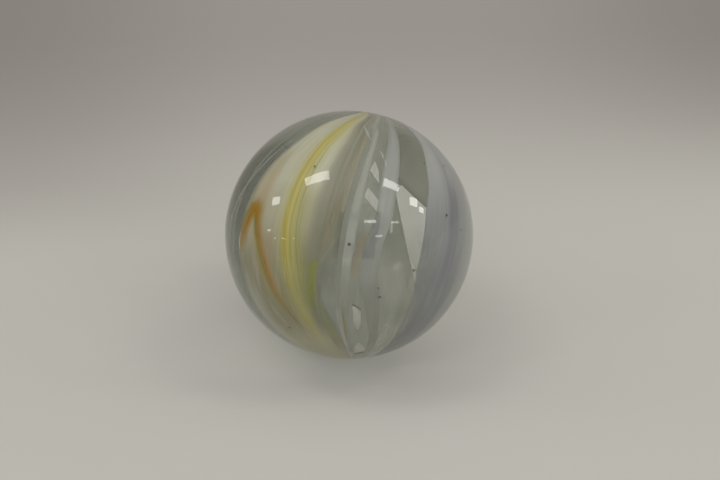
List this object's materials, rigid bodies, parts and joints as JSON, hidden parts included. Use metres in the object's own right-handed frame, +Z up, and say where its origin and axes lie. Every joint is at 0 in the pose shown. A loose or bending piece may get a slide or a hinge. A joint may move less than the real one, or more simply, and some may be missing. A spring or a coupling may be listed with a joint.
{
  "type": "glass marble",
  "caption": "Solid ball of clear glass with ribbons of white glass and yellow, lime, amber and tan streaks melted in just under its surface.",
  "frame": {"origin": "centre of the ball", "axes": "+Z up as the ball lies, -Y towards the side that shows the wide ribbon and the yellow streaks; the axis of the swirl leans back from +Z towards +Y by 32 degrees"},
  "size_m": [0.07, 0.07, 0.07],
  "materials": {
    "clear_glass": "polished",
    "white_glass": "polished",
    "veil_glass": "polished",
    "yellow_glass": "polished",
    "pale_yellow_glass": "polished",
    "lime_glass": "polished",
    "amber_glass": "polished",
    "tan_glass": "polished"
  },
  "bodies": {
    "root": {"clear_glass": "clear_glass", "wide_ribbon": "white_glass", "grey_veil": "veil_glass", "narrow_ribbon": "white_glass", "middle_ribbon": "white_glass", "right_ribbon": "white_glass", "side_ribbon": "white_glass", "back_ribbon_1": "white_glass", "back_ribbon_2": "white_glass", "back_ribbon_3": "white_glass", "back_ribbon_4": "white_glass", "left_ribbon": "white_glass", "fine_thread": "white_glass", "yellow_streak": "yellow_glass", "pale_yellow_streak": "pale_yellow_glass", "lime_streak": "lime_glass", "amber_streak": "amber_glass", "tan_streak": "tan_glass"}
  },
  "joints": []
}
